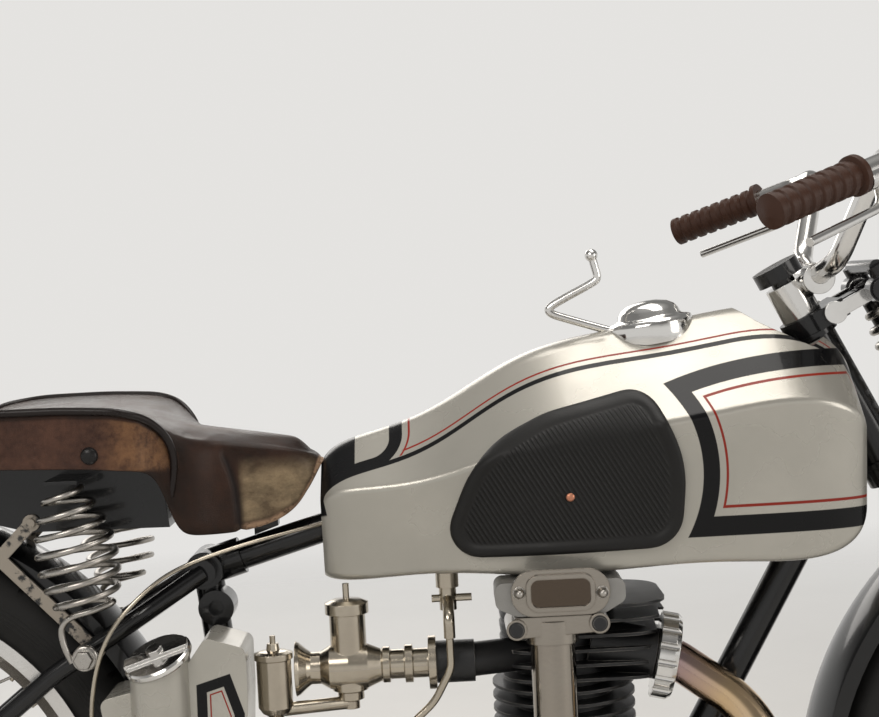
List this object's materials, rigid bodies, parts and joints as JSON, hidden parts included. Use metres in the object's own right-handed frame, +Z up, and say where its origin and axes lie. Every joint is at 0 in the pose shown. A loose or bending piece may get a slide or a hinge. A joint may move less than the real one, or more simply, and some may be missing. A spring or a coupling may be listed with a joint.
{
  "type": "vintage overhead-camshaft single-cylinder sports motorcycle",
  "caption": "Pre-war sporting motorcycle with rigid frame, girder fork, upright overhead-camshaft engine, silver saddle tank and sprung leather saddle, parked on its rear stand.",
  "frame": {"origin": "on the ground below the middle of the machine's overall box", "axes": "+X forward, +Y to the rider's left, +Z up"},
  "size_m": [2.1016, 0.639, 1.0447],
  "materials": {
    "silver_paint": "gloss enamel",
    "black_enamel": "gloss enamel",
    "chrome": "polished",
    "nickel": "satin nickel",
    "polished_alloy": "polished",
    "cast_alloy": "sand cast",
    "black_iron": "stove enamel",
    "rubber": "matt",
    "grip_rubber": "matt",
    "tyre": "matt",
    "leather": "waxed",
    "steel": "satin"
  },
  "bodies": {
    "frame": {"head_lug": "black_enamel", "top_tube": "black_enamel", "down_tube": "black_enamel", "cradle_tubes": "black_enamel", "seat_tube": "black_enamel", "seat_stays": "black_enamel", "chain_stays": "black_enamel", "engine_plates": "black_enamel", "fuel_tank": "silver_paint", "filler_cap": "chrome", "knee_pads": "rubber", "fuel_tap": "nickel", "fuel_pipe": "nickel", "saddle_cover": "leather", "saddle_pan": "black_enamel", "saddle_springs": "steel", "oil_tank": "silver_paint", "oil_cap": "chrome", "crankcase": "cast_alloy", "timing_case": "polished_alloy", "bevel_tower": "nickel", "barrel": "black_iron", "cylinder_head": "black_iron", "cam_box": "cast_alloy", "carburettor": "nickel", "magneto": "cast_alloy", "exhaust_clamp": "chrome", "exhaust_pipe": "chrome", "silencer": "chrome", "gearbox": "cast_alloy", "gearbox_levers": "chrome", "primary_case": "black_enamel", "rear_chain": "steel", "footrests": "rubber", "brake_pedal": "chrome", "rear_mudguard": "black_enamel", "rear_axle": "steel", "cam_cover": "polished_alloy", "saddle_struts": "black_enamel", "oil_pipe": "nickel", "chain_guard": "black_enamel"},
    "fork": {"fork_crowns": "black_enamel", "fork_links": "chrome", "girder_fork": "black_enamel", "fork_spring": "steel", "handlebar": "chrome", "handlebar_grips": "grip_rubber", "hand_levers": "chrome", "headlamp": "black_enamel", "front_mudguard": "black_enamel", "front_axle": "steel"},
    "front_wheel": {"front_wheel_tyre": "tyre", "front_wheel_rim": "chrome", "front_wheel_hub": "steel"},
    "rear_wheel": {"rear_wheel_tyre": "tyre", "rear_wheel_rim": "chrome", "rear_wheel_hub": "steel"},
    "rear_stand": {"rear_stand": "black_enamel"}
  },
  "joints": [
    {"name": "steering", "type": "hinge", "parent": "frame", "child": "fork", "pos_m": [0.4, 0, 0.79], "axis": [-0.454, 0, 0.891], "range_deg": [-33, 33]},
    {"name": "front_wheel_spin", "type": "hinge", "parent": "fork", "child": "front_wheel", "pos_m": [0.706, 0, 0.346], "axis": [0, 1, 0], "continuous": true},
    {"name": "rear_wheel_spin", "type": "hinge", "parent": "frame", "child": "rear_wheel", "pos_m": [-0.685, 0, 0.364], "axis": [0, 1, 0], "continuous": true},
    {"name": "rear_stand_fold", "type": "hinge", "parent": "frame", "child": "rear_stand", "pos_m": [-0.758, 0, 0.366], "axis": [0, 1, 0], "range_deg": [0, 112]}
  ]
}
